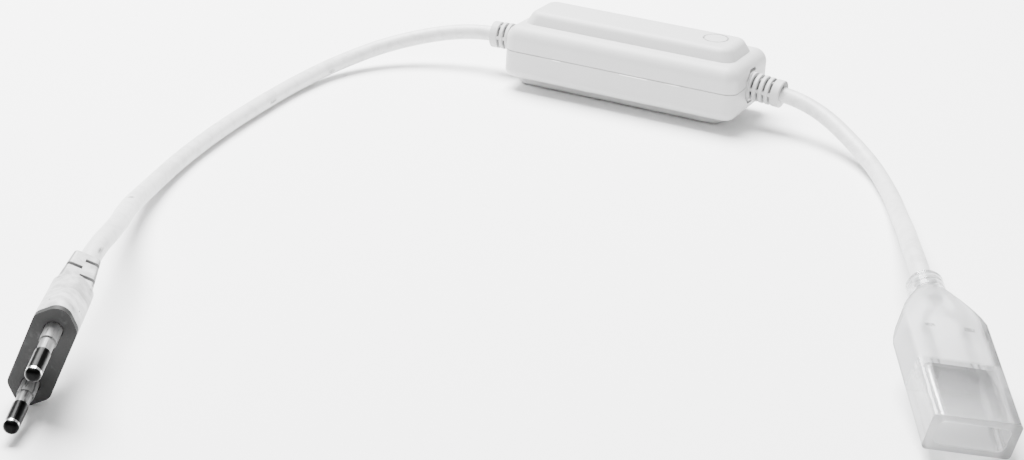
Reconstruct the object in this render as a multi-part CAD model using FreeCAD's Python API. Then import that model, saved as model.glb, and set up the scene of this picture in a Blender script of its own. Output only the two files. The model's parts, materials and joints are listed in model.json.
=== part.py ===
import FreeCAD, Part
import math
import os

from FreeCAD import Placement, Rotation, Vector

os.makedirs("parts", exist_ok=True)

# All sizes are millimetres. The box rests on z = 0 with its middle at the origin.
# x runs along the box towards the output lead, and both leads come round to the -y side.

# Box: a plain body in two shells, with a raised panel on its top and on its bottom
box_length = 92.0
box_width = 36.2
body_height = 19.8
body_corner = 4.6
body_top_edge = 5.0
body_bottom_edge = 3.2
top_panel_length = 83.0
top_panel_width = 22.6
top_panel_slope = 2.2
top_panel_edge = 3.2
bottom_panel_length = 83.0
bottom_panel_width = 19.8
bottom_panel_slope = 0.4
bottom_panel_shift = -2.6
bottom_panel_edge = 1.6
panel_rise = 4.6
panel_corner = 4.4
wall = 2.0
hollow_edge = 1.0
seam_above_middle = 0.6
seam_groove = 0.3
groove_depth = 0.35
lip_depth = 1.6
lip_clearance = 0.1

# Openings in the two end walls, eight-sided, for the strain reliefs
opening_width = 11.2
opening_chamfer = 3.2

# Round cables, the same on both sides of the box
cable_diameter = 5.7
wire_diameter = 2.0
wire_spacing = 2.4
sheath_inside = 10.0

# Ribbed strain reliefs
relief_plate_width = 10.4
relief_plate_height = 10.4
relief_plate_chamfer = 2.4
relief_flange_thickness = 1.6
relief_overlap = 0.8
relief_clearance = 0.15
relief_length = 12.4
relief_root_diameter = 10.4
relief_end_diameter = 9.9
relief_core_diameter = 6.7
relief_ribs = 4
relief_end_rib = 3.0
relief_slot = 1.05
relief_web = 1.1
relief_bridge = 4.0
input_relief_turn = 2.0
input_relief_droop = 1.5
output_relief_turn = 4.0
output_relief_droop = 3.5

# Circuit board and what stands on it
board_length = 62.0
board_width = 29.0
board_thickness = 1.6
board_height = 8.4
support_thickness = 2.0
support_inset = 9.0
clamp_clearance = 0.2
lead_radius = 0.4
lead_hole_clearance = 0.1
lead_stub = 1.4
solder_radius = 1.0
rectifier_length = 22.0
rectifier_thickness = 4.4
rectifier_height = 10.0
rectifier_lead_pitch = 5.0
rectifier_place = (8.0, 8.0)
capacitor_length = 17.5
capacitor_thickness = 7.0
capacitor_height = 11.0
capacitor_lead_pitch = 15.0
capacitor_place = (8.0, -5.0)
fuse_radius = 2.6
fuse_length = 15.0
fuse_cap_length = 4.0
fuse_cap_depth = 0.6
fuse_lead_pitch = 20.0
fuse_place = (-17.0, 0.0)
wire_pad_inset = 3.0
wire_pad_spacing = 7.0

# Plug: a flat six-sided body that narrows to a slotted neck, and two pins
plug_apex = 17.9
plug_flat = 11.4
plug_half_thickness = 5.7
plug_rounding = 3.6
plug_block = 4.0
plug_waist = 20.0
plug_waist_apex = 9.2
plug_waist_flat = 4.6
plug_rear_apex = 7.6
plug_rear_flat = 3.4
plug_rear_half_thickness = 5.6
plug_body_length = 28.0
bridge_plate = 1.6
bridge_depth = 7.5
bridge_half_length = 12.0
bridge_half_thickness = 4.0
neck_length = 13.8
neck_width = 9.8
neck_end_width = 7.6
neck_rounding = 1.3
neck_slots = 3
neck_slot = 1.5
neck_slot_floor = 0.5
neck_slot_pitch = 3.8
neck_slot_start = 2.2
pin_root_spacing = 18.6
pin_tip_spacing = 17.6
pin_length = 19.0
pin_radius = 2.0
pin_shank_radius = 1.35
pin_tip_rounding = 1.3
pin_recess_radius = 2.5
pin_recess_depth = 0.5
sleeve_length = 9.4
sleeve_radius = 1.82
sleeve_collar_radius = 2.2
sleeve_collar_length = 5.0
pin_rear = 9.5
crimp_length = 4.5
crimp_radius = 1.65
crimp_overlap = 2.0
plug_sheath_depth = 21.0

# Strip cap: a flat bottle of clear plastic with an open rectangular mouth
cap_width = 23.5
cap_thickness = 11.4
cap_straight = 41.0
cap_shoulder = 16.0
cap_shoulder_steps = 6
cap_edge = 1.2
cap_cavity_width = 19.2
cap_cavity_thickness = 7.8
cap_cavity_depth = 22.0
cap_cavity_corner = 2.0
cap_collar_length = 6.6
cap_collar_diameter = 9.7
cap_ring_diameter = 10.4
cap_ring_width = 1.3
cap_rings = 3
cap_sheath_depth = 10.0
contact_spacing = 11.0
contact_radius = 1.3
contact_bore_radius = 0.8
contact_bore_depth = 10.0
contact_length = 17.5

# Where the plug and the cap lie: the middle of the plug's face and of the cap's shoulder line,
# then heading from -y towards +x, dip of the nose, and lean of the upper edge, in degrees
plug_place = (-26.3, -309.2)
plug_attitude = (23.1, 9.5, 22.4)
cap_place = (163.0, -171.9)
cap_attitude = (28.7, 12.6, 7.4)
rest_gap = 0.1

# How far the cords run straight on from the reliefs, the plug's neck and the cap's collar,
# and their points between those, from the box outwards
relief_lead = 12.2
neck_lead = 4.2
collar_lead = 7.0
input_points = [
    (-93.6, -16.1, 8.3),
    (-104.4, -41.7, 4.0),
    (-105.5, -69.7, 3.0),
    (-103.2, -97.7, 3.1),
    (-100.0, -126.0, 3.1),
    (-95.0, -154.5, 3.0),
    (-86.6, -183.0, 4.3),
    (-74.2, -210.5, 9.9),
    (-57.4, -236.5, 18.1),
]
output_points = [
    (97.6, -20.4, 4.2),
    (113.6, -46.6, 3.1),
    (124.2, -72.6, 5.8),
    (132.3, -97.2, 12.3),
    (139.5, -121.7, 19.2),
]

box_height = body_height + 2 * panel_rise
half_length = box_length / 2
half_width = box_width / 2
cable_height = box_height / 2
cable_radius = cable_diameter / 2
seam_height = box_height / 2 + seam_above_middle
flange_height = body_height - 2 * wall - hollow_edge - 2 * relief_clearance
opening_height = flange_height - 2 * relief_overlap
flange_width = opening_width + 2 * relief_overlap
centre = Vector(0, 0, 0)


def block(x_range, y_range, z_range):
    low = Vector(x_range[0], y_range[0], z_range[0])
    size = Vector(x_range[1], y_range[1], z_range[1]) - low
    return Part.makeBox(size.x, size.y, size.z, low)


def rod(start, end, radius):
    along = end - start
    return Part.makeCylinder(radius, along.Length, start, along)


def rounded_outline(corners, radius):
    """Closed wire through the corners, each one rounded by an arc."""
    count = len(corners)
    edges = []
    starts = []
    for i in range(count):
        corner = corners[i]
        to_last = (corners[i - 1] - corner).normalize()
        to_next = (corners[(i + 1) % count] - corner).normalize()
        half_angle = to_last.getAngle(to_next) / 2
        reach = radius / math.tan(half_angle)
        middle = (to_last + to_next).normalize() * (radius / math.sin(half_angle) - radius)
        starts.append((corner + to_last * reach, corner + middle, corner + to_next * reach))
    for i in range(count):
        before, through, after = starts[i]
        edges.append(Part.Arc(before, through, after).toShape())
        edges.append(Part.LineSegment(after, starts[(i + 1) % count][0]).toShape())
    return Part.Wire(edges)


def rectangle(width_x, width_y, radius, z):
    x = width_x / 2
    y = width_y / 2
    corners = [Vector(-x, -y, z), Vector(x, -y, z), Vector(x, y, z), Vector(-x, y, z)]
    return rounded_outline(corners, radius)


def loft(*wires):
    return Part.makeLoft(list(wires), True, True)


def rounded_block(length, width, z_range, corner, bottom_edge, top_edge):
    """Block with upright corners of one radius, and a radius each for its bottom and top rims."""
    solid = block((-length / 2, length / 2), (-width / 2, width / 2), z_range)
    upright = [e for e in solid.Edges if abs(e.tangentAt(e.FirstParameter).z) > 0.9]
    solid = solid.makeFillet(corner, upright)
    for z, radius in zip(z_range, (bottom_edge, top_edge)):
        rim = [e for e in solid.Edges if abs(e.BoundBox.ZMin - z) + abs(e.BoundBox.ZMax - z) < 0.01]
        solid = solid.makeFillet(radius, rim)
    return solid


def raised_panel(length, width, slope, levels, corner, edge):
    """Panel that is upright from its foot to the body's surface and then leans in to a rounded rim."""
    foot_z, body_z, top_z = levels
    solid = loft(rectangle(length, width, corner, foot_z), rectangle(length, width, corner, body_z),
                 rectangle(length - 2 * slope, width - 2 * slope, corner, top_z))
    rim = [e for e in solid.Edges if abs(e.BoundBox.ZMax - top_z) < 0.01 and abs(e.BoundBox.ZMin - top_z) < 0.01]
    return solid.makeFillet(edge, rim) if edge else solid


def eight_sides(width, height, chamfer, x):
    """Upright eight-sided outline across the x axis, centred on the cable."""
    y = width / 2
    z = height / 2
    inner_y = y - chamfer
    inner_z = z - chamfer
    turns = [(-inner_y, -z), (inner_y, -z), (y, -inner_z), (y, inner_z)]
    turns += [(inner_y, z), (-inner_y, z), (-y, inner_z), (-y, -inner_z)]
    points = [Vector(x, a, cable_height + b) for a, b in turns]
    return Part.makePolygon(points + points[:1])


def eight_sided_block(width, height, chamfer, x_start, x_end):
    face = Part.Face(eight_sides(width, height, chamfer, x_start))
    return face.extrude(Vector(x_end - x_start, 0, 0))


def cord_path(points):
    """Straight runs joined by tangent arcs as large as the two runs beside each allow."""
    edges = []
    radii = []
    last = points[0]
    for i in range(1, len(points) - 1):
        before = points[i - 1] - points[i]
        after = points[i + 1] - points[i]
        half_turn = (math.pi - before.getAngle(after)) / 2
        reach = 0.45 * min(before.Length, after.Length)
        radius = reach / math.tan(half_turn)
        radii.append(radius)
        to_last = before.normalize()
        to_next = after.normalize()
        inward = (to_last + to_next).normalize() * (radius / math.cos(half_turn) - radius)
        start = points[i] + to_last * reach
        end = points[i] + to_next * reach
        edges.append(Part.LineSegment(last, start).toShape())
        edges.append(Part.Arc(start, points[i] + inward, end).toShape())
        last = end
    edges.append(Part.LineSegment(last, points[-1]).toShape())
    return Part.Wire(edges), radii


def cord(points, radius):
    path, radii = cord_path(points)
    profile = Part.Wire([Part.makeCircle(radius, points[0], points[1] - points[0])])
    solid = path.makePipeShell([profile], True, False)
    return solid, path.Length, min(radii)


def attitude(heading, dip, lean):
    """Rotation that lays local z along the nose and local x along the upper edge."""
    a = math.radians(heading)
    b = math.radians(dip)
    c = math.radians(lean)
    nose = Vector(math.sin(a) * math.cos(b), -math.cos(a) * math.cos(b), -math.sin(b))
    up = Vector(0, 0, 1)
    up = (up - nose * up.dot(nose)).normalize()
    across = nose.cross(up)
    upper = up * math.cos(c) - across * math.sin(c)
    return Rotation(upper, nose.cross(upper), nose, "ZXY")


def laid_down(place, angles, outer):
    """Placement that puts the outer solid at its place with its lowest point on the surface."""
    turn = attitude(*angles)
    turned = outer.copy()
    turned.Placement = Placement(Vector(place[0], place[1], 0), turn)
    height = rest_gap - turned.BoundBox.ZMin
    return Placement(Vector(place[0], place[1], height), turn)


def placed(solid, placement):
    moved = solid.copy()
    moved.Placement = placement.multiply(moved.Placement)
    return moved


# Shells of the box

def box_form(inset):
    """Outer form of the box, or its hollow at one wall thickness inside."""
    low = panel_rise + inset
    high = box_height - panel_rise - inset
    body = rounded_block(box_length - 2 * inset, box_width - 2 * inset, (low, high),
                         body_corner - inset, hollow_edge if inset else body_bottom_edge,
                         hollow_edge if inset else body_top_edge)
    corner = max(panel_corner - inset, 0.6)
    middle = box_height / 2
    upper = raised_panel(top_panel_length - 2 * inset, top_panel_width - 2 * inset, top_panel_slope,
                         (middle, high, box_height - inset), corner, max(top_panel_edge - inset, 0))
    lower = raised_panel(bottom_panel_length - 2 * inset, bottom_panel_width - 2 * inset, bottom_panel_slope,
                         (middle, low, inset), corner, max(bottom_panel_edge - inset, 0))
    lower.translate(Vector(bottom_panel_shift, 0, 0))
    return body.fuse([upper, lower]).removeSplitter()


def above(z):
    reach = box_length
    return block((-reach, reach), (-reach, reach), (z, z + reach))


def seam_ring(outer_inset, inner_inset, z_range):
    outer = block((-half_length + outer_inset, half_length - outer_inset),
                  (-half_width + outer_inset, half_width - outer_inset), z_range)
    inner = block((-half_length + inner_inset, half_length - inner_inset),
                  (-half_width + inner_inset, half_width - inner_inset), z_range)

    def corners(solid, radius):
        upright = [e for e in solid.Edges if abs(e.tangentAt(e.FirstParameter).z) > 0.9]
        return solid.makeFillet(radius, upright)

    return corners(outer, body_corner - outer_inset).cut(corners(inner, body_corner - inner_inset))


def board_supports():
    """Two ribs across the lower shell that carry the board near its ends."""
    ribs = []
    for side in (-1, 1):
        x = side * (board_length / 2 - support_inset)
        ribs.append(block((x - support_thickness / 2, x + support_thickness / 2),
                          (-half_width + wall / 2, half_width - wall / 2),
                          (wall / 2, board_height)))
    return ribs


def board_clamps():
    """Two ribs across the upper shell that stop just above the board."""
    top = board_height + board_thickness + clamp_clearance
    bars = []
    for side in (-1, 1):
        x = side * (board_length / 2 - support_inset)
        for edge in (-1, 1):
            y = edge * (board_width / 2 - wall / 2)
            bars.append(block((x - support_thickness / 2, x + support_thickness / 2),
                              (y - wall / 2, y + wall / 2), (top, box_height - panel_rise - wall / 2)))
    return bars


def box_shells():
    outer = box_form(0)
    skin = outer.cut(box_form(wall))
    ribs = [r.common(outer) for r in board_supports()]
    bars = [b.common(outer) for b in board_clamps()]
    groove = seam_ring(0, groove_depth, (seam_height - seam_groove / 2, seam_height + seam_groove / 2))
    openings = [eight_sided_block(opening_width, opening_height, opening_chamfer,
                                  side * (half_length - 2 * wall), side * (half_length + wall))
                for side in (-1, 1)]
    lip = seam_ring(wall / 2, wall, (seam_height - lip_depth, seam_height))
    rebate = seam_ring(wall / 2 - lip_clearance, wall, (seam_height - lip_depth - lip_clearance, seam_height))
    upper = skin.common(above(seam_height)).fuse([lip] + bars)
    lower = skin.cut(above(seam_height)).fuse(ribs).cut(rebate)
    return [s.cut([groove] + openings).removeSplitter() for s in (upper, lower)]


# Strain reliefs and the ends of the cables that they hold

def relief_frame(side, turn, droop):
    """Placement of one ribbed sleeve: local x runs out of the box from the end wall."""
    swing = Rotation(Vector(0, 0, 1), -turn) if side > 0 else Rotation(Vector(0, 0, 1), 180 + turn)
    dip = Rotation(Vector(0, 1, 0), droop)
    return Placement(Vector(side * half_length, 0, cable_height), swing.multiply(dip))


def ribbed_sleeve():
    """Ribs and a wider end rib round a core. A web along each side joins them all,
    and every second slot is bridged at its top and bottom too."""
    pitch = (relief_length - relief_end_rib) / relief_ribs
    core = rod(centre, Vector(relief_length, 0, 0), relief_core_diameter / 2)
    web_reach = relief_end_diameter / 2 - relief_slot / 4
    pieces = [block((0, relief_length - relief_end_rib), (-web_reach, web_reach),
                    (-relief_web / 2, relief_web / 2))]
    for i in range(relief_ribs + 1):
        start = i * pitch
        end = start + pitch - relief_slot if i < relief_ribs else relief_length
        share = start / relief_length
        radius = (relief_root_diameter * (1 - share) + relief_end_diameter * share) / 2
        ring = rod(Vector(start, 0, 0), Vector(end, 0, 0), radius)
        rims = [e for e in ring.Edges if e.BoundBox.XMax - e.BoundBox.XMin < 0.01]
        pieces.append(ring.makeFillet(relief_slot / 4, rims))
        if i % 2:
            pieces.append(block((end - relief_slot / 2, end + relief_slot + relief_slot / 2),
                                (-relief_bridge / 2, relief_bridge / 2),
                                (-relief_bridge, relief_bridge)))
    return core.fuse(pieces)


def cable_start(side, frame):
    """First points of a cable: inside the box, in its end wall and straight on past the relief."""
    inside = Vector(side * (half_length - wall - sheath_inside), 0, cable_height)
    return [inside, frame.Base, frame.multVec(Vector(relief_length + relief_lead, 0, 0))]


def strain_relief(side, frame, cable):
    inner = side * (half_length - wall - relief_clearance)
    plate = eight_sided_block(relief_plate_width, relief_plate_height, relief_plate_chamfer,
                              inner, side * (half_length + wall / 4))
    flange = eight_sided_block(flange_width, flange_height, opening_chamfer,
                               inner, inner - side * relief_flange_thickness)
    joint = Part.makeSphere(relief_core_diameter / 2, frame.Base)
    return plate.fuse([flange, placed(ribbed_sleeve(), frame), joint]).cut(cable).removeSplitter()


# Board, parts on it and the wires that reach it

board_top = board_height + board_thickness


def lead_pair(x, y, pitch, along_x=True):
    offsets = (-pitch / 2, pitch / 2)
    return [(x + d, y) if along_x else (x, y + d) for d in offsets]


def rectifier_leads():
    x, y = rectifier_place
    return [(x + (i - 1.5) * rectifier_lead_pitch, y) for i in range(4)]


def lead_rods(places, top, radius=lead_radius):
    return [rod(Vector(x, y, board_height - lead_stub), Vector(x, y, top), radius) for x, y in places]


def soldered(places, radius=lead_radius):
    """Cones of solder under the board round the leads at these places."""
    below = Vector(0, 0, -1)
    return [Part.makeCone(solder_radius, radius, lead_stub, Vector(x, y, board_height), below) for x, y in places]


def rectifier():
    x, y = rectifier_place
    body = block((x - rectifier_length / 2, x + rectifier_length / 2),
                 (y - rectifier_thickness / 2, y + rectifier_thickness / 2),
                 (board_top, board_top + rectifier_height))
    notch = [e for e in body.Edges if abs(e.tangentAt(e.FirstParameter).y) > 0.9
             and e.BoundBox.ZMin > board_top + 1 and e.BoundBox.XMin > x]
    body = body.makeChamfer(rectifier_thickness / 2, notch)
    leads = rectifier_leads()
    return body.fuse(lead_rods(leads, board_top + 1) + soldered(leads))


def capacitor():
    x, y = capacitor_place
    body = block((x - capacitor_length / 2, x + capacitor_length / 2),
                 (y - capacitor_thickness / 2, y + capacitor_thickness / 2),
                 (board_top, board_top + capacitor_height))
    body = body.makeFillet(0.5, body.Edges)
    leads = lead_pair(x, y, capacitor_lead_pitch)
    return body.fuse(lead_rods(leads, board_top + 1) + soldered(leads))


def fuse_parts():
    """Glass tube fuse lying across the board, and its two metal caps with bent leads."""
    x, y = fuse_place
    z = board_top + fuse_radius
    glass_end = fuse_length / 2 - fuse_cap_depth
    glass = rod(Vector(x, y - glass_end, z), Vector(x, y + glass_end, z), fuse_radius * 0.9)
    parts = {"fuse_glass": glass}
    for side, name in ((-1, "fuse_front_cap"), (1, "fuse_back_cap")):
        tip = Vector(x, y + side * fuse_length / 2, z)
        corner = Vector(x, y + side * fuse_lead_pitch / 2, z)
        foot = [(corner.x, corner.y)]
        cap = rod(Vector(x, y + side * (fuse_length / 2 - fuse_cap_length), z), tip, fuse_radius)
        lead = [rod(tip, corner, lead_radius), Part.makeSphere(lead_radius, corner)]
        parts[name] = cap.fuse(lead + lead_rods(foot, z) + soldered(foot)).cut(glass)
    return parts


def wire_pads(side):
    x = side * (board_length / 2 - wire_pad_inset)
    return [(x, offset * wire_pad_spacing / 2) for offset in (-1, 1)]


def board():
    plate = block((-board_length / 2, board_length / 2), (-board_width / 2, board_width / 2),
                  (board_height, board_top))
    upright = [e for e in plate.Edges if abs(e.tangentAt(e.FirstParameter).z) > 0.9]
    plate = plate.makeFillet(1, upright)
    places = rectifier_leads() + lead_pair(*capacitor_place, capacitor_lead_pitch)
    places += lead_pair(*fuse_place, fuse_lead_pitch, False)
    holes = lead_rods(places, board_top + 1, lead_radius + lead_hole_clearance)
    bare_wires = lead_rods(wire_pads(-1) + wire_pads(1), board_top + 1, wire_diameter / 4 + lead_hole_clearance)
    return plate.cut(holes + bare_wires)


def box_wire(side, offset):
    """Wire from the end of the held sheath down to its hole in the board."""
    start_x = side * (half_length - wall - sheath_inside)
    pad_x, pad_y = wire_pads(side)[0 if offset < 0 else 1]
    start = Vector(start_x, offset * wire_spacing / 2, cable_height)
    forward = Vector(pad_x, start.y, cable_height)
    corner = Vector(pad_x, pad_y, cable_height)
    drop = Vector(pad_x, pad_y, board_top)
    bend = (forward + corner) * 0.5
    insulated = cord([start, bend, drop], wire_diameter / 2)[0]
    bare = rod(Vector(pad_x, pad_y, board_height - lead_stub), drop, wire_diameter / 4)
    return insulated.fuse([bare] + soldered([(pad_x, pad_y)], wire_diameter / 4))


# Plug, built with its face at z = 0, pins along +z and its six-sided outline along x

def six_sides(apex, flat, half_thickness, z):
    turns = [(apex, 0), (flat, half_thickness), (-flat, half_thickness)]
    turns += [(-apex, 0), (-flat, -half_thickness), (flat, -half_thickness)]
    return rounded_outline([Vector(x, y, z) for x, y in turns], plug_rounding)


neck_end = -(plug_body_length + neck_length)


def plug_neck():
    """Strain relief in one piece with the plug body, slotted from alternate sides down to its core."""
    outer = loft(rectangle(neck_width, neck_width, neck_rounding, -plug_body_length + 1),
                 rectangle(neck_end_width, neck_end_width, neck_rounding, neck_end))
    core = rod(Vector(0, 0, 0), Vector(0, 0, neck_end), cable_radius + neck_slot_floor)
    for i in range(neck_slots):
        z = -plug_body_length - neck_slot_start - i * neck_slot_pitch
        side = 1 if i % 2 else -1
        half = block((-neck_width, neck_width), sorted((0, side * neck_width)), (z - neck_slot, z))
        outer = outer.cut(half.cut(core))
    return outer


def plug_parts():
    parts = {}
    face = six_sides(plug_apex, plug_flat, plug_half_thickness, 0)
    behind = six_sides(plug_apex, plug_flat, plug_half_thickness, -bridge_plate)
    bridge = loft(face, behind)
    core = block((-bridge_half_length, bridge_half_length), (-bridge_half_thickness, bridge_half_thickness),
                 (-bridge_depth, -bridge_plate / 2))
    bridge = bridge.fuse(core)
    floor = Vector(0, 0, -pin_recess_depth)
    block_end = six_sides(plug_apex, plug_flat, plug_half_thickness, -plug_block)
    waist = six_sides(plug_waist_apex, plug_waist_flat, plug_half_thickness, -plug_waist)
    rear = six_sides(plug_rear_apex, plug_rear_flat, plug_rear_half_thickness, -plug_body_length)
    body = loft(behind, block_end, waist, rear).fuse(plug_neck())
    embedded = [bridge]
    bridge_holes = []
    pin_lean = math.degrees(math.atan2((pin_root_spacing - pin_tip_spacing) / 2, pin_length))
    for side, name in ((1, "live"), (-1, "neutral")):
        frame = Placement(Vector(side * pin_root_spacing / 2, 0, 0), Rotation(Vector(0, 1, 0), -side * pin_lean))
        shank = rod(Vector(0, 0, -pin_rear), Vector(0, 0, sleeve_length), pin_shank_radius)
        tip = rod(Vector(0, 0, sleeve_length), Vector(0, 0, pin_length), pin_radius)
        rim = [e for e in tip.Edges if e.BoundBox.ZMin > pin_length - 0.01]
        tip = tip.makeFillet(pin_tip_rounding, rim)
        pin = shank.fuse(tip)
        sleeve = rod(floor, Vector(0, 0, sleeve_length), sleeve_radius)
        collar = rod(floor, Vector(0, 0, sleeve_collar_length), sleeve_collar_radius)
        recess = rod(floor, Vector(0, 0, pin_radius), pin_recess_radius)
        sleeve = sleeve.fuse(collar).cut(shank)
        crimp = rod(Vector(0, 0, -pin_rear - crimp_length + crimp_overlap),
                    Vector(0, 0, -pin_rear + crimp_overlap), crimp_radius)
        crimp = crimp.cut(shank)
        pin, sleeve, crimp, recess = [placed(s, frame) for s in (pin, sleeve, crimp, recess)]
        bridge_holes += [pin, recess]
        wire_start = frame.multVec(Vector(0, 0, -pin_rear - crimp_length + crimp_overlap))
        wire_end = Vector(side * wire_spacing / 2, 0, -plug_sheath_depth)
        wire = rod(wire_start, wire_end, wire_diameter / 2).fuse(Part.makeSphere(wire_diameter / 2, wire_end))
        wire = wire.cut([crimp, pin])
        embedded += [pin, crimp, wire]
        parts.update({name + "_pin": pin, name + "_sleeve": sleeve, name + "_crimp": crimp,
                      "plug_" + name + "_wire": wire})
    parts["pin_bridge"] = bridge.cut(bridge_holes + [parts["live_crimp"], parts["neutral_crimp"]])
    parts["plug_body"] = body.cut(embedded)
    return parts


# Strip cap, built with its shoulder line at z = 0, mouth towards +z, thickness along x, width along y

cap_rear = -cap_shoulder - cap_collar_length


def cap_shoulder_form():
    """Bottle shoulder: rounded rectangles that draw in to the collar, slowly and then fast."""
    sections = []
    for i in range(cap_shoulder_steps + 1):
        share = i / cap_shoulder_steps
        drawn_in = share ** 1.5
        thickness = cap_thickness + (cap_collar_diameter - cap_thickness) * drawn_in
        width = cap_width + (cap_collar_diameter - cap_width) * drawn_in
        radius = cap_edge + (cap_collar_diameter * 0.45 - cap_edge) * share
        sections.append(rectangle(thickness, width, radius, -cap_shoulder * share))
    return loft(*sections)


def cap_cavity():
    floor = cap_straight - cap_cavity_depth
    outline = rectangle(cap_cavity_thickness, cap_cavity_width, cap_cavity_corner, floor)
    return Part.Face(outline).extrude(Vector(0, 0, cap_cavity_depth + 1))


def cap_parts():
    floor = cap_straight - cap_cavity_depth
    straight = Part.Face(rectangle(cap_thickness, cap_width, cap_edge, 0)).extrude(Vector(0, 0, cap_straight))
    collar = [rod(Vector(0, 0, cap_rear), Vector(0, 0, -cap_shoulder + 2), cap_collar_diameter / 2)]
    pitch = cap_collar_length / cap_rings
    for i in range(cap_rings):
        start = cap_rear + (i + 0.5) * pitch - cap_ring_width / 2
        ring = rod(Vector(0, 0, start), Vector(0, 0, start + cap_ring_width), cap_ring_diameter / 2)
        collar.append(ring.makeFillet(0.3, [e for e in ring.Edges if e.BoundBox.ZMax - e.BoundBox.ZMin < 0.01]))
    parts = {}
    embedded = [cap_cavity()]
    for side, name in ((1, "positive"), (-1, "negative")):
        y = side * contact_spacing / 2
        contact = rod(Vector(0, y, floor - contact_length), Vector(0, y, floor), contact_radius)
        socket = rod(Vector(0, y, floor - contact_bore_depth), Vector(0, y, floor), contact_bore_radius)
        contact = contact.cut(socket)
        start = Vector(0, side * wire_spacing / 2, cap_rear + cap_sheath_depth)
        end = Vector(0, y, floor - contact_length)
        lead = (end.z - start.z) / 3
        points = [start, start + Vector(0, 0, lead), end - Vector(0, 0, lead), end]
        wire = cord(points, wire_diameter / 2)[0]
        embedded += [contact, socket, wire]
        parts[name + "_contact"] = contact
        parts["cap_" + name + "_wire"] = wire
    parts["strip_cap"] = straight.fuse([cap_shoulder_form()] + collar).cut(embedded).removeSplitter()
    return parts


# The whole lead, laid out

plug = plug_parts()
plug_at = laid_down(plug_place, plug_attitude, Part.makeCompound(list(plug.values())))
cap = cap_parts()
cap_at = laid_down(cap_place, cap_attitude, cap["strip_cap"])
shapes = {}
print("plug face at", plug_at.Base, "cap shoulder line at", cap_at.Base)
for parts, placement in ((plug, plug_at), (cap, cap_at)):
    shapes.update({name: placed(shape, placement) for name, shape in parts.items()})

frames = {
    "input": relief_frame(-1, input_relief_turn, input_relief_droop),
    "output": relief_frame(1, output_relief_turn, output_relief_droop),
}
plug_entry = [plug_at.multVec(Vector(0, 0, z)) for z in (neck_end - neck_lead, -plug_sheath_depth)]
cap_entry = [cap_at.multVec(Vector(0, 0, z)) for z in (cap_rear - collar_lead, cap_rear + cap_sheath_depth)]
routes = {
    "input": cable_start(-1, frames["input"]) + [Vector(*p) for p in input_points] + plug_entry,
    "output": cable_start(1, frames["output"]) + [Vector(*p) for p in output_points] + cap_entry,
}
for name, route in routes.items():
    cable, length, tightest = cord(route, cable_radius)
    shapes[name + "_cable"] = cable
    runs = [round((b - a).Length, 1) for a, b in zip(route, route[1:])]
    print(name, "cable length", round(length, 1), "tightest radius", round(tightest, 1), "runs", runs)
    print("volume over section times length", round(cable.Volume / (math.pi * cable_radius ** 2 * length), 4),
          "lowest", round(cable.BoundBox.ZMin, 2), "points", [tuple(round(c, 2) for c in p) for p in route])
shapes["plug_body"] = shapes["plug_body"].cut([shapes["input_cable"], shapes["plug_live_wire"],
                                               shapes["plug_neutral_wire"]]).removeSplitter()
for name in ("plug_live_wire", "plug_neutral_wire"):
    shapes[name] = shapes[name].cut(shapes["input_cable"])
shapes["strip_cap"] = shapes["strip_cap"].cut(shapes["output_cable"])

shapes["upper_shell"], shapes["lower_shell"] = box_shells()
shapes["input_relief"] = strain_relief(-1, frames["input"], shapes["input_cable"])
shapes["output_relief"] = strain_relief(1, frames["output"], shapes["output_cable"])
shapes["circuit_board"] = board()
shapes["bridge_rectifier"] = rectifier()
shapes["film_capacitor"] = capacitor()
shapes.update(fuse_parts())
shapes["live_wire"] = box_wire(-1, -1)
shapes["neutral_wire"] = box_wire(-1, 1)
shapes["positive_wire"] = box_wire(1, -1)
shapes["negative_wire"] = box_wire(1, 1)

for name, shape in shapes.items():
    shape.exportStep("parts/" + name + ".step")
    print(name, "solids", len(shape.Solids), "valid", shape.isValid(), "volume", round(shape.Volume, 1))
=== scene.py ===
import json
import math

import bpy
from mathutils import Matrix, Vector


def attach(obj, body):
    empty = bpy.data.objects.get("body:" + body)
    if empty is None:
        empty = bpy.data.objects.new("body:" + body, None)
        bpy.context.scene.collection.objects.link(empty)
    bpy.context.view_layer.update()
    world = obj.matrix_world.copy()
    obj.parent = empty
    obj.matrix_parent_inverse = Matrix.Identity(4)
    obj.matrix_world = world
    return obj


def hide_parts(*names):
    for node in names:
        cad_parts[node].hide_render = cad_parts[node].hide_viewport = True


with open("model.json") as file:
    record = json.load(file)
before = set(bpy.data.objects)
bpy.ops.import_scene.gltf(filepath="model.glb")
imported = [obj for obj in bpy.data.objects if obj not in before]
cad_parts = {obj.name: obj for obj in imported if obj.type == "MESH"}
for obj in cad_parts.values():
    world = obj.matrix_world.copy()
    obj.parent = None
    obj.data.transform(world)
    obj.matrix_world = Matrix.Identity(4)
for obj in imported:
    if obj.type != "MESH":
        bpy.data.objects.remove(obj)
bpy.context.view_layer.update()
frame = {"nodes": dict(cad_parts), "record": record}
scene = bpy.context.scene

# Camera: the point of the floor that it looks at, and how it stands there
look_at = Vector((0.01927, -0.13849, 0.0))
camera_azimuth = math.radians(25.23)
camera_elevation = math.radians(22.85)
camera_roll = math.radians(3.54)
camera_distance = 0.62416
camera_lens = 70.3
film_width = 36.0

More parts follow.
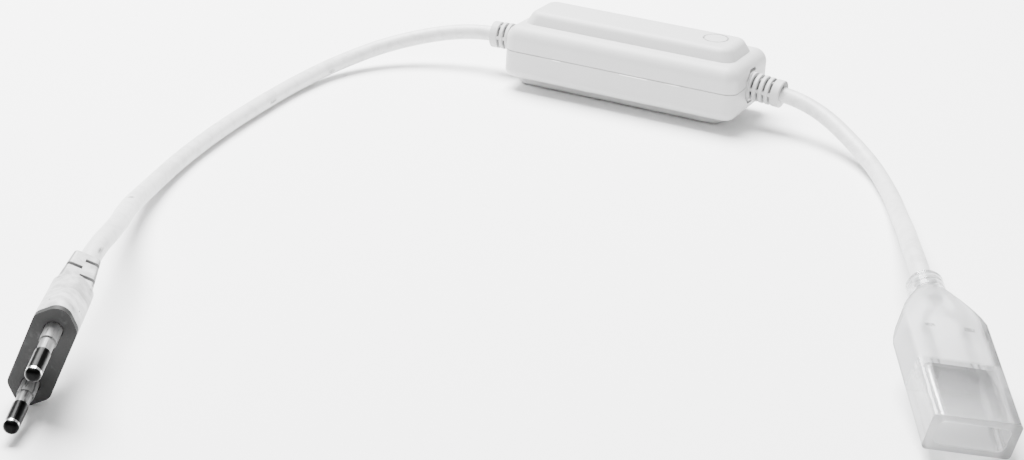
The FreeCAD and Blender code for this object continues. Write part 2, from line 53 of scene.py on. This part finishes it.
# The leads: points that their cables follow, from inside the box to inside the plug or the cap.
# Where its relief ends, a cable has made gland_drift of its third point's move sideways.
cable_radius = 0.00285
cable_height = 0.0145
relief_core_radius = 0.00335
input_route = [
    (-0.0340, 0.0, 0.0145),
    (-0.0460, 0.0, 0.0145),
    (-0.0706, -0.0009, 0.0139),
    (-0.0936, -0.0161, 0.0083),
    (-0.1044, -0.0417, 0.0040),
    (-0.1055, -0.0697, 0.0030),
    (-0.1032, -0.0977, 0.0031),
    (-0.1000, -0.1260, 0.0031),
    (-0.0950, -0.1545, 0.0030),
    (-0.0866, -0.1830, 0.0043),
    (-0.0742, -0.2105, 0.0099),
    (-0.0574, -0.2365, 0.0181),
    (-0.0441, -0.26747, 0.02259),
    (-0.03443, -0.29015, 0.01846),
]
output_route = [
    (0.0340, 0.0, 0.0145),
    (0.0460, 0.0, 0.0145),
    (0.0705, -0.0017, 0.0130),
    (0.0976, -0.0204, 0.0042),
    (0.1136, -0.0466, 0.0031),
    (0.1242, -0.0726, 0.0058),
    (0.1323, -0.0972, 0.0123),
    (0.1395, -0.1217, 0.0192),
    (0.14913, -0.14656, 0.02235),
    (0.15709, -0.16111, 0.01864),
]
# Where the input lead is scuffed, and which way its scuffs run
scuff_places = [
    (-0.1015, -0.0480, 0.0035),
    (-0.1011, -0.0885, 0.0032),
    (-0.0748, -0.2074, 0.0124),
    (-0.0437, -0.2624, 0.0227),
]
scuff_direction = Vector((0.2, -1.0, 0.0)).normalized()

# How the plug and the cap lie, in degrees: heading from -y towards +x, dip of the nose, and
# lean of the upper edge. Their sizes are those that the finishes follow.
plug_attitude = (23.1, 9.5, 22.4)
plug_body_length = 0.028
plug_neck_length = 0.0138
neck_half_width = 0.0049
neck_end_half_width = 0.0038
face_to_pin_middle = 0.01355
cap_attitude = (28.7, 12.6, 7.4)
cap_length = 0.041
cap_shoulder_length = 0.016
cap_half_width = 0.01175
cap_collar_radius = 0.00485
cap_hollow_depth = 0.022
cap_hollow_half_width = 0.0096
rear_shade_start = 0.0365
rear_shade_fade = 0.001
contact_off_centre = 0.0055
contact_mark_depth = 0.0372
shoulder_shade_start = 0.052
shoulder_shade_end = 0.056

# Places on the box that its finish follows
seam_height = 0.0151
box_top = 0.029
ring_centre = (0.0302, 0.0014)
ring_half_size = (0.0044, 0.0049)

# The pins and the mouth of the cap, as the record places them
mounts = {m["name"]: m for m in frame["record"]["mounts"]}
pin_axis = (Vector(mounts["live_pin"]["axis"]) + Vector(mounts["neutral_pin"]["axis"])).normalized()
pin_middle = (Vector(mounts["live_pin"]["pos_m"]) + Vector(mounts["neutral_pin"]["pos_m"])) / 2
pin_half_length = mounts["live_pin"]["dims"]["length_mm"] / 2000
cap_mouth = Vector(mounts["strip_socket"]["pos_m"])


def directions(attitude):
    """Unit vectors of the plug or the cap: out of its nose, towards its upper edge, and across."""
    heading, dip, lean = (math.radians(angle) for angle in attitude)
    level = math.cos(dip)
    nose = Vector((math.sin(heading) * level, -math.cos(heading) * level, -math.sin(dip)))
    up = Vector((0, 0, 1))
    up = (up - nose * up.dot(nose)).normalized()
    upper = up * math.cos(lean) - nose.cross(up) * math.sin(lean)
    return nose, upper, nose.cross(upper)


def place_camera():
    """Long lens, turned round the point of the floor that it looks at."""
    around = Matrix.Rotation(camera_azimuth, 4, "Z")
    tilt = Matrix.Rotation(math.pi / 2 - camera_elevation, 4, "X")
    roll = Matrix.Rotation(camera_roll, 4, "Z")
    turn = around @ tilt @ roll
    data = bpy.data.cameras.new("camera")
    data.lens = camera_lens
    data.sensor_width = film_width
    data.clip_start = 0.01
    camera = bpy.data.objects.new("camera", data)
    scene.collection.objects.link(camera)
    back = turn.to_3x3() @ Vector((0, 0, 1))
    camera.matrix_world = Matrix.Translation(look_at + back * camera_distance) @ turn
    scene.camera = camera


def lay_cord(name, route, node):
    """Round cable along its route, which replaces the plain tube of the model."""
    curve = bpy.data.curves.new(name, "CURVE")
    curve.dimensions = "3D"
    curve.resolution_u = 16
    curve.bevel_depth = 1.0
    curve.bevel_resolution = 8
    curve.use_fill_caps = True
    spline = curve.splines.new("NURBS")
    spline.points.add(len(route) - 1)
    for point, place in zip(spline.points, route):
        point.co = (*place, 1.0)
        point.radius = cable_radius
    spline.order_u = 3
    spline.use_endpoint_u = True
    cord = bpy.data.objects.new(name, curve)
    scene.collection.objects.link(cord)
    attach(cord, "root")
    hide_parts(node)
    return cord


place_camera()
input_cord = lay_cord("input_cord", input_route, "input_cable")
output_cord = lay_cord("output_cord", output_route, "output_cable")


# Sockets of a mix node that blends colours: factor, low and high, and its result
mix_colour_inputs = (0, 6, 7)
mix_colour_output = 2


class Value:
    """A number or a mask that varies over a surface, with the sums that shaders need."""

    def __init__(self, look, socket):
        self.look = look
        self.socket = socket

    def maths(self, operation, *others):
        inputs = {i: other for i, other in enumerate(others)}
        return self.look.node("ShaderNodeMath", {"operation": operation}, inputs)["Value"]

    def __add__(self, other):
        return self.maths("ADD", self, other)

    __radd__ = __add__

    def __sub__(self, other):
        return self.maths("SUBTRACT", self, other)

    def __rsub__(self, other):
        return self.maths("SUBTRACT", other, self)

    def __neg__(self):
        return 0 - self

    def __mul__(self, other):
        return self.maths("MULTIPLY", self, other)

    __rmul__ = __mul__

    def __truediv__(self, other):
        return self.maths("DIVIDE", self, other)

    def __gt__(self, other):
        return self.maths("GREATER_THAN", self, other)

    def __lt__(self, other):
        return self.maths("LESS_THAN", self, other)

    def __abs__(self):
        return self.maths("ABSOLUTE", self)

    def larger(self, other):
        return self.maths("MAXIMUM", self, other)

    def root(self):
        return self.maths("SQRT", self)

    def smooth(self, low, high):
        """0 below low, 1 above high, with a soft step between."""
        settings = {"interpolation_type": "SMOOTHSTEP"}
        inputs = {"Value": self, "From Min": low, "From Max": high}
        return self.look.node("ShaderNodeMapRange", settings, inputs)["Result"]


class Made:
    """The outputs of a node that was just made, by name."""

    def __init__(self, look, node):
        self.look = look
        self.outputs = {s.name: s for s in node.outputs if s.enabled}

    def __getitem__(self, name):
        return Value(self.look, self.outputs[name])


class Look:
    """One material, built node by node round its shader."""

    def __init__(self, name, **shader):
        self.material = bpy.data.materials.new(name)
        self.material.use_nodes = True
        self.tree = self.material.node_tree
        self.shader = self.tree.nodes["Principled BSDF"]
        self.set(**shader)

    def node(self, kind, settings=None, inputs=None):
        """Makes a node, sets it up and feeds its inputs."""
        made = self.tree.nodes.new(kind)
        for key, setting in (settings or {}).items():
            setattr(made, key, setting)
        for key, value in (inputs or {}).items():
            self.feed(made.inputs[key], value)
        return Made(self, made)

    def feed(self, socket, value):
        """Links a varying value to the socket, or writes a constant on it."""
        if isinstance(value, Value):
            self.tree.links.new(value.socket, socket)
        else:
            socket.default_value = value

    def set(self, **shader):
        """Feeds the shader's inputs, by name."""
        for key, value in shader.items():
            self.feed(self.shader.inputs[key.replace("_", " ")], value)

    def point(self):
        """The point of the surface, in metres."""
        return self.node("ShaderNodeTexCoord")["Object"]

    def parts(self, point):
        """The point's three parts."""
        parts = self.node("ShaderNodeSeparateXYZ", inputs={0: point})
        return parts["X"], parts["Y"], parts["Z"]

    def vectors(self, operation, inputs):
        """A sum with vectors, by the name of its operation."""
        return self.node("ShaderNodeVectorMath", {"operation": operation}, inputs)

    def along(self, point, origin, direction):
        """How far the point lies from the origin along a unit direction, in metres."""
        from_origin = self.vectors("SUBTRACT", {0: point, 1: origin})["Vector"]
        return self.vectors("DOT_PRODUCT", {0: from_origin, 1: direction})["Value"]

    def distance(self, point, place):
        """How far the point lies from a place, in metres."""
        return self.vectors("DISTANCE", {0: point, 1: place})["Value"]

    def drawn_out(self, point, origin, direction, share):
        """The point less a share of its way along a direction, which stretches patterns."""
        way = self.along(point, origin, direction) * share
        taken = self.vectors("SCALE", {0: direction, "Scale": way})["Vector"]
        return self.vectors("SUBTRACT", {0: point, 1: taken})["Vector"]

    def noise(self, point, scale, detail=3.0, roughness=0.55):
        """Cloudy pattern, with so many waves to the metre."""
        inputs = {"Vector": point, "Scale": scale, "Detail": detail, "Roughness": roughness}
        return self.node("ShaderNodeTexNoise", inputs=inputs)["Fac"]

    def blend(self, mask, low, high):
        """Colour that goes from low to high with the mask."""
        mix = self.tree.nodes.new("ShaderNodeMix")
        mix.data_type = "RGBA"
        for slot, value in zip(mix_colour_inputs, (mask, low, high)):
            self.feed(mix.inputs[slot], value)
        return Value(self, mix.outputs[mix_colour_output])

    def bumps(self, height, distance, strength):
        """Fine relief of the surface, as high as the distance, in metres."""
        inputs = {"Height": height, "Distance": distance, "Strength": strength}
        self.set(Normal=self.node("ShaderNodeBump", inputs=inputs)["Normal"])


def grey(level):
    """Neutral colour of one level."""
    return (level, level, level, 1.0)


def moulded_white(name, roughness):
    """Moulded plastic before its colour: soft satin, with clouds, fine grain and faint scuffs."""
    look = Look(name, Specular_IOR_Level=0.25)
    point = look.point()
    clouds = look.noise(point, 40.0)
    grain = look.noise(point, 900.0, 2.0)
    scuffs = look.noise(point, 260.0, 4.0).smooth(0.66, 0.78)
    look.set(Roughness=roughness + 0.12 * clouds + 0.08 * scuffs)
    look.bumps(grain * 0.7 + clouds * 0.3, 0.00004, 0.35)
    return look, point, clouds


def shell_finish():
    """Box shells: seam grime, painted seam highlights, and a thin oval ring printed on top."""
    look, point, clouds = moulded_white("shell_white", 0.38)
    x, y, z = look.parts(point)
    tone = look.blend(clouds, grey(0.5), grey(0.54))

    seam = 1 - abs(z - seam_height).smooth(0.0001, 0.0005)
    broken = look.noise(point, 150.0, 2.0).smooth(0.42, 0.62)
    dirty = look.blend(seam * broken * 0.35, tone, (0.42, 0.41, 0.4, 1))
    # Small bright spots just under the seam are painted highlights
    under_seam = 1 - abs(z - seam_height + 0.0004).smooth(0.0001, 0.0002)
    painted_glints = under_seam * look.noise(point, 65.0, 2.0).smooth(0.57, 0.63)
    with_painted_glints = look.blend(painted_glints, dirty, grey(0.95))

    across = (x - ring_centre[0]) / ring_half_size[0]
    along = (y - ring_centre[1]) / ring_half_size[1]
    reach = (across * across + along * along).root()
    on_top = z.smooth(box_top - 0.0006, box_top - 0.0002)
    ring = (1 - abs(reach - 1).smooth(0.03, 0.11)) * on_top
    worn = look.noise(point, 900.0, 3.0).smooth(0.3, 0.6)
    look.set(Base_Color=look.blend(ring * (0.35 + 0.65 * worn), with_painted_glints, grey(0.1)))
    return look.material


def relief_finish():
    """Strain reliefs: painted shade darkens the bottoms of the slots between the ribs."""
    look, point, clouds = moulded_white("relief_white", 0.45)
    x, y, z = look.parts(point)
    above_cable = z - cable_height
    reach = (y * y + above_cable * above_cable).root()
    # Painted shade in the bottoms of the slots, dark close to the cable's core
    painted_slot_shade = 1 - reach.smooth(relief_core_radius + 0.0002, relief_core_radius + 0.001)
    tone = look.blend(clouds, grey(0.475), grey(0.52))
    look.set(Base_Color=look.blend(painted_slot_shade * 0.85, tone, grey(0.1)))
    return look.material


def plug_finish():
    """Plug body: uneven white, and painted shade darkens the slots of its neck."""
    look, point, clouds = moulded_white("plug_white", 0.34)
    nose, upper, across = directions(plug_attitude)
    face = pin_middle - nose * face_to_pin_middle
    behind_face = -look.along(point, face, nose)
    way_down_neck = (behind_face - plug_body_length) / plug_neck_length
    on_neck = (way_down_neck > 0.04) * (way_down_neck < 0.97)
    half_width = neck_half_width + (neck_end_half_width - neck_half_width) * way_down_neck
    upwards = abs(look.along(point, pin_middle, upper))
    sideways = abs(look.along(point, pin_middle, across))
    # Painted shade in the slots of the neck
    painted_slot_shade = (half_width - upwards.larger(sideways)).smooth(0.0001, 0.0003) * on_neck
    blotches = look.noise(point, 260.0, 4.0, 0.65).smooth(0.35, 0.65)
    tone = look.blend(blotches, grey(0.35), grey(0.55))
    look.set(Base_Color=look.blend(painted_slot_shade * 0.85, tone, grey(0.16)))
    return look.material


def cable_finish():
    """Soft white jacket: slow waves in tone, greyer patches and a few small dark scuffs."""
    look = Look("cable_white", Specular_IOR_Level=0.45)
    point = look.point()
    waves = look.noise(point, 70.0, 2.0)
    patches = look.noise(point, 240.0, 4.0, 0.6).smooth(0.5, 0.58)
    tone = look.blend(waves, grey(0.58), grey(0.64))
    mottled = look.blend(patches * 0.6, tone, grey(0.5))
    scuffs = 0
    for place in scuff_places:
        drawn = look.drawn_out(point, place, scuff_direction, 0.7)
        near = 1 - look.distance(drawn, place).smooth(0.0003, 0.001)
        broken = look.noise(drawn, 900.0, 4.0, 0.6).smooth(0.4, 0.54)
        scuffs = scuffs + near * (0.4 + 0.6 * broken)
    look.set(Base_Color=look.blend(scuffs * 0.85, mottled, grey(0.06)))
    look.set(Roughness=0.33 + 0.15 * waves)
    look.bumps(look.noise(point, 600.0, 2.0) * 0.5 + waves * 0.5, 0.00005, 0.3)
    return look.material


def face_finish():
    """Dark grey face of the plug: matt, finely grained, rubbed paler in places."""
    look = Look("face_grey", Specular_IOR_Level=0.12)
    point = look.point()
    clouds = look.noise(point, 90.0, 3.0)
    grain = look.noise(point, 1800.0, 2.0)
    rubbed = look.noise(point, 300.0, 4.0).smooth(0.6, 0.75)
    tone = look.blend(clouds, grey(0.022), grey(0.036))
    look.set(Base_Color=look.blend(rubbed * 0.35, tone, grey(0.08)))
    look.set(Roughness=0.48 + 0.15 * grain)
    look.bumps(grain, 0.00005, 0.5)
    return look.material


def sleeve_finish():
    """Grey sleeves on the pins: glossy, with dark streaks drawn out along the pins."""
    look = Look("sleeve_grey", Specular_IOR_Level=0.4)
    point = look.point()
    drawn = look.drawn_out(point, pin_middle, pin_axis, 0.85)
    tone = look.noise(drawn, 700.0, 3.0)
    streaks = look.noise(drawn, 1100.0, 2.0).smooth(0.56, 0.66)
    pale = look.blend(tone, grey(0.09), grey(0.2))
    look.set(Base_Color=look.blend(streaks * 0.85, pale, grey(0.02)))
    look.set(Roughness=0.24 + 0.18 * tone)
    look.bumps(tone, 0.00004, 0.4)
    return look.material


def pin_finish():
    """Polished pins whose nearly black colour is painted dark reflection, with a bright ring of
    painted highlight where each tip starts to round off.
    """
    look = Look("pin_nickel", Metallic=1.0)
    point = look.point()
    way_out = look.along(point, pin_middle, pin_axis)
    # Bright ring near each tip: a painted highlight
    ring = way_out.smooth(pin_half_length - 0.0009, pin_half_length - 0.0006)
    ring = ring * (1 - way_out.smooth(pin_half_length - 0.0003, pin_half_length + 0.0001))
    tarnish = look.noise(point, 220.0, 4.0)
    marks = look.noise(point, 2500.0, 2.0)
    # Nearly black base colour: painted dark reflection on the nickel
    dark = look.blend(tarnish, grey(0.002), grey(0.006))
    look.set(Base_Color=look.blend(ring, dark, grey(0.85)))
    look.set(Roughness=(0.26 + 0.12 * marks) * (1 - 0.5 * ring))
    look.bumps(marks, 0.00002, 0.25)
    return look.material


def plated_finish(name, dark, pale, roughness):
    """Bright plating with fine turning marks and slight tarnish."""
    look = Look(name, Metallic=1.0)
    point = look.point()
    tarnish = look.noise(point, 220.0, 4.0)
    marks = look.noise(point, 2500.0, 2.0)
    look.set(Base_Color=look.blend(tarnish, dark, pale))
    look.set(Roughness=roughness + 0.1 * marks)
    look.bumps(marks, 0.00002, 0.25)
    return look.material


def cap_finish():
    """Clear soft plastic of the strip cap: milky where it is solid, clearer in the walls of the
    hollow. Painted shade darkens its outline, hollow, right-hand wall, foot and rim, and painted
    dark marks stand in for both contacts' rear ends seen through the plastic."""
    look = Look("cap_clear", Transmission_Weight=0.88, IOR=1.45, Specular_IOR_Level=0.5)
    point = look.point()
    haze = look.noise(point, 35.0, 3.0)
    clear = look.blend(haze, (0.88, 0.89, 0.9, 1), (0.96, 0.96, 0.97, 1))
    # Darker towards the outline, where the surface turns from view: painted shade
    facing = look.node("ShaderNodeLayerWeight", inputs={"Blend": 0.3})["Facing"]
    outline_shaded = look.blend(facing.smooth(0.45, 0.85) * 0.85, clear, grey(0.05))

    # Where the point lies: depth is 0 at the mouth and negative inside, wide is positive on the
    # right, and high is 0 at half the height
    nose, upper, across = directions(cap_attitude)
    depth = look.along(point, cap_mouth, nose)
    wide = -look.along(point, cap_mouth, across)
    high = look.along(point, cap_mouth, upper)
    solid = 1 - depth.smooth(-cap_hollow_depth - 0.002, -cap_hollow_depth)
    shoulder_end = -cap_length - cap_shoulder_length
    milky = solid * depth.smooth(shoulder_end, shoulder_end + 0.002)
    way_to_front = ((depth - shoulder_end) / cap_shoulder_length).smooth(-0.25, 1.0)
    half_width = cap_collar_radius + (cap_half_width - cap_collar_radius) * way_to_front

    # Painted shade at the foot, on the rim and along the right-hand wall
    # Dark foot at the left and the front: painted shade
    left_foot = (-high).smooth(0.0036, 0.0052) * (-wide / half_width).smooth(0.9, 0.97)
    front_foot = (-high).smooth(0.0044, 0.0054) * depth.smooth(-0.0008, -0.0003)
    footed = look.blend((left_foot + front_foot) * 0.8, outline_shaded, grey(0.04))
    # Greyer rim at the mouth: painted shade
    rim = depth.smooth(-0.0006, -0.0002)
    rimmed = look.blend(rim * 0.85, footed, grey(0.28))
    # Dark band along the right-hand wall: painted shade
    fading = (-depth).smooth(shoulder_shade_start, shoulder_shade_end)
    right_wall = (wide / half_width).smooth(0.68, 0.86) * (1 - fading)
    wall_shade = right_wall * (0.55 + 0.2 * haze + 0.25 * solid)
    walled = look.blend(wall_shade, rimmed, grey(0.015))

    # Painted shade over the roof of the hollow, darkest at the back
    over_hollow = 1 - abs(wide).smooth(cap_hollow_half_width - 0.0012, cap_hollow_half_width)
    roof = high.smooth(0.002, 0.003) * (1 - 0.4 * high.smooth(0.0043, 0.005))
    roof = roof * over_hollow * (1 - solid)
    roof = roof * (1 - depth.smooth(-cap_hollow_depth, -0.05 * cap_hollow_depth)).root()
    roofed = look.blend(roof, walled, grey(0.005))

    # Painted dark marks on the upper side, over the contacts' rear ends seen through the plastic
    mark = 1 - abs(abs(wide) - contact_off_centre).smooth(0.0011, 0.0018)
    mark = mark * high.smooth(0.005, 0.0055)
    mark = mark * (1 - abs(depth + contact_mark_depth).smooth(0.0004, 0.0011))
    broken = look.noise(point, 900.0, 2.0).smooth(0.35, 0.6)
    look.set(Base_Color=look.blend(mark * (0.3 + 0.5 * broken), roofed, grey(0.02)))

    frosted = 0.45 * milky * (1 - 0.9 * right_wall) + 0.4 * rim
    look.set(Roughness=0.08 + 0.1 * haze + frosted)
    inner = 1 - abs(wide).smooth(cap_hollow_half_width + 0.0002, cap_hollow_half_width + 0.001)
    below = 1 - high.smooth(-0.001, 0.001)
    see_through = (1 - solid) * (1 - right_wall) * (1 - roof) * (1 - rim) * inner
    look.set(Alpha=1 - see_through * (0.45 + 0.4 * below))
    look.bumps(look.noise(point, 110.0, 2.0), 0.0002, 0.3)
    return look.material


def contact_finish():
    """Tinned contacts, with painted shade darkening their rear ends."""
    look = Look("contact_tin", Metallic=0.6)
    point = look.point()
    nose, upper, across = directions(cap_attitude)
    behind_mouth = -look.along(point, cap_mouth, nose)
    # Dark rear ends of the contacts: painted shade
    rear_end_shade = behind_mouth.smooth(rear_shade_start, rear_shade_start + rear_shade_fade)
    tarnish = look.noise(point, 220.0, 4.0)
    bright = look.blend(tarnish, grey(0.75), grey(0.9))
    look.set(Base_Color=look.blend(rear_end_shade, bright, grey(0.03)))
    look.set(Roughness=0.45 + 0.1 * tarnish)
    look.bumps(tarnish, 0.00002, 0.25)
    return look.material


def insulation_finish(name, colour):
    """Smooth jacket of a thin wire, slightly mottled."""
    look = Look(name, Specular_IOR_Level=0.5)
    point = look.point()
    tone = look.noise(point, 400.0, 3.0)
    paler = tuple(min(1.0, c * 1.25 + 0.02) for c in colour)
    look.set(Base_Color=look.blend(tone, (*colour, 1), (*paler, 1)))
    look.set(Roughness=0.3 + 0.15 * tone)
    look.bumps(tone, 0.00003, 0.3)
    return look.material


def board_finish():
    """Green board with paler tracks under the lacquer."""
    look = Look("board_green", Specular_IOR_Level=0.5, Coat_Weight=0.3, Coat_Roughness=0.15)
    point = look.point()
    settings = {"distance": "CHEBYCHEV", "feature": "F2"}
    inputs = {"Vector": point, "Scale": 160.0}
    cells = look.node("ShaderNodeTexVoronoi", settings, inputs)["Distance"]
    tracks = cells.smooth(0.45, 0.5)
    look.set(Base_Color=look.blend(tracks, (0.02, 0.15, 0.05, 1), (0.06, 0.3, 0.12, 1)))
    look.set(Roughness=0.3 + 0.2 * look.noise(point, 300.0))
    look.bumps(tracks, 0.00004, 0.4)
    return look.material


def speckled_finish(name, colour, roughness, scale):
    """Hard dipped or moulded case with a speckled surface."""
    look = Look(name, Specular_IOR_Level=0.45)
    point = look.point()
    speckle = look.noise(point, scale, 3.0)
    paler = tuple(min(1.0, c * 1.4 + 0.02) for c in colour)
    look.set(Base_Color=look.blend(speckle, (*colour, 1), (*paler, 1)))
    look.set(Roughness=roughness + 0.2 * speckle)
    look.bumps(speckle, 0.00005, 0.4)
    return look.material


def glass_finish():
    """Glass of the fuse, faintly smeared."""
    look = Look("fuse_glass", Transmission_Weight=0.95, IOR=1.5)
    point = look.point()
    smears = look.noise(point, 500.0, 3.0)
    look.set(Base_Color=look.blend(smears, (0.86, 0.9, 0.9, 1), (0.95, 0.97, 0.97, 1)))
    look.set(Roughness=0.04 + 0.08 * smears)
    look.bumps(smears, 0.00002, 0.2)
    return look.material


finishes = {
    "shell_white": shell_finish(),
    "relief_white": relief_finish(),
    "cable_white": cable_finish(),
    "plug_white": plug_finish(),
    "face_grey": face_finish(),
    "sleeve_grey": sleeve_finish(),
    "pin_nickel": pin_finish(),
    "cap_clear": cap_finish(),
    "contact_tin": contact_finish(),
    "crimp_tin": plated_finish("crimp_tin", grey(0.5), grey(0.66), 0.3),
    "wire_brown": insulation_finish("wire_brown", (0.16, 0.06, 0.025)),
    "wire_blue": insulation_finish("wire_blue", (0.03, 0.1, 0.4)),
    "wire_red": insulation_finish("wire_red", (0.5, 0.03, 0.02)),
    "wire_black": insulation_finish("wire_black", (0.02, 0.02, 0.02)),
    "wire_white": insulation_finish("wire_white", (0.84, 0.84, 0.84)),
    "board_green": board_finish(),
    "rectifier_black": speckled_finish("rectifier_black", (0.02, 0.02, 0.02), 0.5, 900.0),
    "capacitor_red": speckled_finish("capacitor_red", (0.3, 0.03, 0.02), 0.2, 300.0),
    "fuse_glass": glass_finish(),
    "fuse_metal": plated_finish("fuse_metal", grey(0.45), grey(0.6), 0.2),
}


def dress():
    """Gives every node of the model and both cords the finish of its material slot."""
    for part in frame["record"]["subparts"]:
        mesh = frame["nodes"][part["node"]].data
        mesh.materials.clear()
        mesh.materials.append(finishes[part["material_slot"]])
    for cord in (input_cord, output_cord):
        cord.data.materials.append(finishes["cable_white"])


def area_light(name, place, aim, size, power):
    """Round soft light at a place, turned towards its aim."""
    data = bpy.data.lights.new(name, "AREA")
    data.shape = "DISK"
    data.size = size
    data.energy = power
    light = bpy.data.objects.new(name, data)
    direction = Vector(aim) - Vector(place)
    light.rotation_euler = direction.to_track_quat("-Z", "Y").to_euler()
    light.location = place
    scene.collection.objects.link(light)


def surroundings():
    """Sky of the studio: white above and darker towards the horizon."""
    world = bpy.data.worlds.new("studio")
    world.use_nodes = True
    nodes = world.node_tree.nodes
    links = world.node_tree.links
    direction = nodes.new("ShaderNodeTexCoord")
    parts = nodes.new("ShaderNodeSeparateXYZ")
    rise = nodes.new("ShaderNodeMapRange")
    for name, value in (("From Min", 0.1), ("From Max", 0.9), ("To Min", 0.45), ("To Max", 1.2)):
        rise.inputs[name].default_value = value
    links.new(direction.outputs["Generated"], parts.inputs[0])
    links.new(parts.outputs["Z"], rise.inputs["Value"])
    links.new(rise.outputs["Result"], nodes["Background"].inputs["Strength"])
    nodes["Background"].inputs["Color"].default_value = grey(1.0)
    return world


def studio():
    """Pale floor, white surroundings and one large soft light from the upper left."""
    mesh = bpy.data.meshes.new("floor")
    reach = 6.0
    drop = 0.0002
    corners = [(-reach, -reach, 0), (reach, -reach, 0), (reach, reach, 0), (-reach, reach, 0)]
    mesh.from_pydata(corners, [], [(0, 1, 2, 3)])
    floor = bpy.data.objects.new("floor", mesh)
    floor.location.z = -drop
    scene.collection.objects.link(floor)
    mesh.materials.append(Look("floor_white", Base_Color=grey(0.92), Roughness=0.9).material)
    scene.world = surroundings()
    area_light("key", place=(-0.45, 0.2, 1.15), aim=(0.0, -0.1, 0.0), size=1.0, power=118.0)


dress()
studio()
